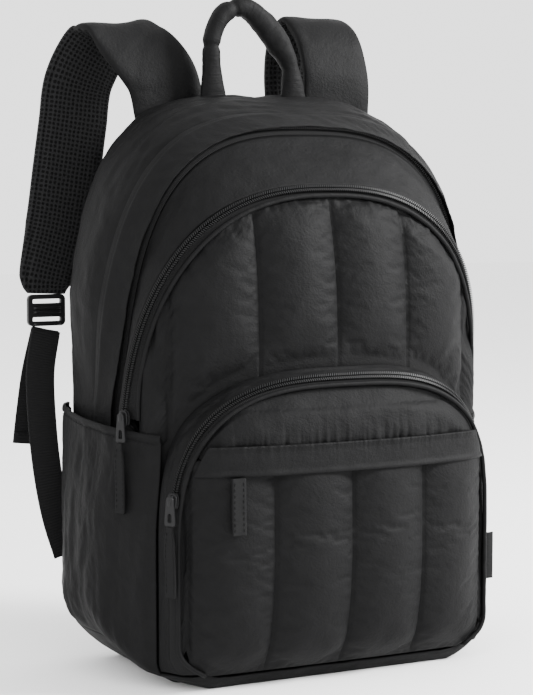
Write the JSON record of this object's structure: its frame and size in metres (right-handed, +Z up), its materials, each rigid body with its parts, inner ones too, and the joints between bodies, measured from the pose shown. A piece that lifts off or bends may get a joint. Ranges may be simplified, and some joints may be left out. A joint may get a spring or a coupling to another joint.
{
  "type": "quilted puffer backpack",
  "caption": "Soft quilted backpack with arched zip pockets in front, open side pockets, padded carrying straps and a stuffed grab handle.",
  "frame": {"origin": "on the floor under the main compartment, on the flat of the base", "axes": "+Z up, the front faces -Y, +X to the right of someone who looks at the front"},
  "size_m": [0.3535, 0.2378, 0.5206],
  "materials": {
    "shell_nylon": "crinkled matt nylon with a soft sheen",
    "lining": "plain woven lining",
    "back_mesh": "spacer mesh",
    "webbing": "ribbed woven tape",
    "zipper": "woven tape with moulded teeth",
    "buckle_plastic": "satin moulded plastic",
    "lacquered_metal": "dark satin lacquer",
    "label": "bare woven label"
  },
  "bodies": {
    "root": {"main_gusset": "shell_nylon", "back_panel": "back_mesh", "divider_wall": "lining", "base_panel": "shell_nylon", "main_zipper": "zipper", "storm_flap": "shell_nylon", "middle_gusset": "shell_nylon", "middle_zipper": "zipper", "middle_panel": "shell_nylon", "middle_piping": "shell_nylon", "lower_gusset": "shell_nylon", "lower_zipper": "zipper", "lower_panel": "shell_nylon", "lower_crown": "shell_nylon", "lower_piping": "shell_nylon", "front_band": "shell_nylon", "front_tab": "webbing", "side_pocket_left": "shell_nylon", "side_pocket_right": "shell_nylon", "shoulder_strap_left": "shell_nylon", "shoulder_strap_right": "shell_nylon", "ladder_lock_left": "buckle_plastic", "ladder_lock_right": "buckle_plastic", "webbing_left": "webbing", "webbing_right": "webbing", "webbing_tail_left": "webbing", "webbing_tail_right": "webbing", "grab_handle": "shell_nylon", "middle_slider": "lacquered_metal", "middle_pull": "lacquered_metal", "middle_tab": "webbing", "lower_slider": "lacquered_metal", "lower_pull": "lacquered_metal", "lower_tab": "webbing", "side_label": "label"}
  },
  "joints": []
}
